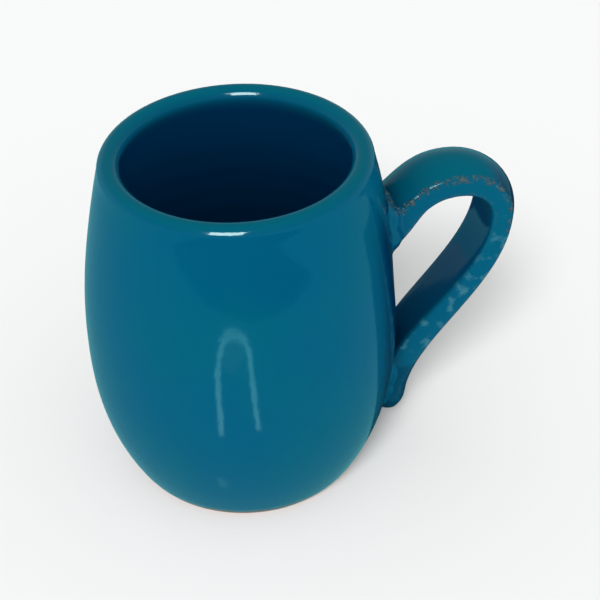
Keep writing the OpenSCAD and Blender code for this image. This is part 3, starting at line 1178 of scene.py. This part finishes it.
# Corners of each card on the table, in millimetres, and the height that it lies at
DARK_AREA = (-420, -1500), (200, -252)
SHADE_AREA = (-20, -14), (260, 260)
CARD_Z = 0.2 * MM
DARK_BLUE = (0.05, 0.25, 0.3, 1)
DARK_LEVEL, SHADE_LEVEL = 0.1, 0.2


def lay_card(name, area, level):
    """A flat dark card on the table."""
    low, high = (Vector((x, y, 0)) * MM for x, y in area)
    bpy.ops.mesh.primitive_plane_add(size=1, location=(low + high) / 2 + Vector((0, 0, CARD_Z)))
    card = bpy.context.object
    card.scale = (*(high - low).xy, 1)
    mirrored_only(card, name, DARK_BLUE, level)


lay_card("dark_card", DARK_AREA, DARK_LEVEL)

# %% The pale loop on the table, and the weak glow inside its far end
PALE = (0.85, 1, 1, 1)
LOOP_LEVEL, GLOW_LEVEL = 2.4, 0.5
LOOP_W = 9 * MM
LOOP_Z = 0.5 * MM
# Place in millimetres, and a share of the loop's width that grows away from the mug
LOOP_WAY = [
    (-32, -74, 0.4),
    (-53, -112, 0.7),
    (-73, -150, 1),
    (-86, -190, 1.3),
    (-60, -214, 1.2),
    (-26, -204, 1.2),
    (-18, -165, 1.1),
    (-12, -122, 0.7),
    (-5, -84, 0.4),
]
GLOW_SIZE = Vector((40, 70, 0)) * MM
GLOW_PLACE = Vector((-50, -174, 0.4)) * MM
GLOW_SIDES = 24
bpy.ops.curve.primitive_nurbs_path_add()
loop = bpy.context.object
bpy.ops.object.mode_set(mode="EDIT")
bpy.ops.curve.subdivide()
bpy.ops.object.mode_set(mode="OBJECT")
path = loop.data.splines[0]
print(len(path.points), "points in the loop")
for point, (x, y, width) in zip(path.points, LOOP_WAY):
    point.co = (x * MM, y * MM, LOOP_Z, 1)
    point.radius = width
loop.data.bevel_depth = LOOP_W / 2
mirrored_only(loop, "light_loop", PALE, LOOP_LEVEL)

bpy.ops.mesh.primitive_circle_add(vertices=GLOW_SIDES, radius=0.5, fill_type="NGON", location=GLOW_PLACE)
glow_card = bpy.context.object
glow_card.scale = (*GLOW_SIZE.xy, 1)
mirrored_only(glow_card, "glow_card", PALE, GLOW_LEVEL)

# A card beside the handle keeps the wall and the strap's inside dark there
lay_card("shade_card", SHADE_AREA, SHADE_LEVEL)

# %% The sky
# Its mean level, and how much it rises towards each axis
SKY_LEVEL = 1
SKY_RISE = (-0.18, -0.36, -0.12)
# What the glaze mirrors falls from the first level at the horizon to the second at this height
MIRRORED_LOW, MIRRORED_HIGH = 0.3, 0.1
MIRRORED_TOP = 0.5
# The camera sees one even level, close to that of the floor
SEEN_LEVEL = 0.97
world = bpy.data.worlds.new("soft_sky")
bpy.context.scene.world = world
world.use_nodes = True
tree = world.node_tree
background = tree.nodes["Background"]
background.inputs["Color"].default_value = (1, 1, 1, 1)
way = add_node(tree, "ShaderNodeTexCoord").outputs["Generated"]
rise = add_node(tree, "ShaderNodeVectorMath", {0: way, 1: SKY_RISE}, operation="DOT_PRODUCT")
level = combine(tree, rise.outputs["Value"], SKY_LEVEL, "ADD")
height = add_node(tree, "ShaderNodeSeparateXYZ", {"Vector": way}).outputs["Z"]
fall = {"Value": height, "From Max": MIRRORED_TOP, "To Min": MIRRORED_LOW, "To Max": MIRRORED_HIGH}
dim = add_node(tree, "ShaderNodeMapRange", fall).outputs[0]
rays = add_node(tree, "ShaderNodeLightPath")


def level_for(ray, others, own):
    """The sky's level, with a level of its own for one kind of ray."""
    inputs = {0: rays.outputs[ray], 2: others, 3: own}
    return add_node(tree, "ShaderNodeMix", inputs, data_type="FLOAT").outputs[0]


seen = level_for("Is Camera Ray", level, SEEN_LEVEL)
tree.links.new(level_for("Is Glossy Ray", seen, dim), background.inputs["Strength"])
print(world.name, "seen at", SEEN_LEVEL, "and mirrored at", MIRRORED_LOW, "to", MIRRORED_HIGH)

# %% The lamps
# A broad lamp beside the camera draws the bright bars on the lip and the glints on the handle's
# ridge. Only gloss shows it. It is far redder than its images, because the glaze mirrors little red.
LAMP_WAY = (-22, 40)
LAMP_DISTANCE = 1
LAMP_SIZE = (0.4, 0.45)
LAMP_WATTS = 28
LAMP_COLOUR = (1, 0.34, 0.33)
bpy.ops.object.light_add(type="AREA", location=TARGET + direction(*LAMP_WAY) * LAMP_DISTANCE)
lamp = bpy.context.object
lamp.name = "long_lamp"
lamp.data.shape = "RECTANGLE"
lamp.data.size, lamp.data.size_y = LAMP_SIZE
lamp.data.energy = LAMP_WATTS
lamp.data.color = LAMP_COLOUR
lamp.visible_diffuse = False
lamp.rotation_mode = "QUATERNION"
lamp.rotation_quaternion = (TARGET - lamp.location).to_track_quat("-Z", "Y")

# A sun lights the paper alone, so that the mug's soft shadow falls to the back right
SUN_TILT = math.radians(44)
SUN_TURN = math.radians(-25)
SUN_LEVEL = 3.2
SUN_BREADTH = math.radians(20)
bpy.ops.object.light_add(type="SUN", rotation=(SUN_TILT, 0, SUN_TURN))
sun = bpy.context.object
sun.name = "paper_lamp"
sun.data.energy = SUN_LEVEL
sun.data.angle = SUN_BREADTH
paper_only = bpy.data.collections.new("paper_only")
paper_only.objects.link(floor)
sun.light_linking.receiver_collection = paper_only

bpy.context.scene.view_settings.view_transform = "Standard"
print("lit by", lamp.name, "and", sun.name)
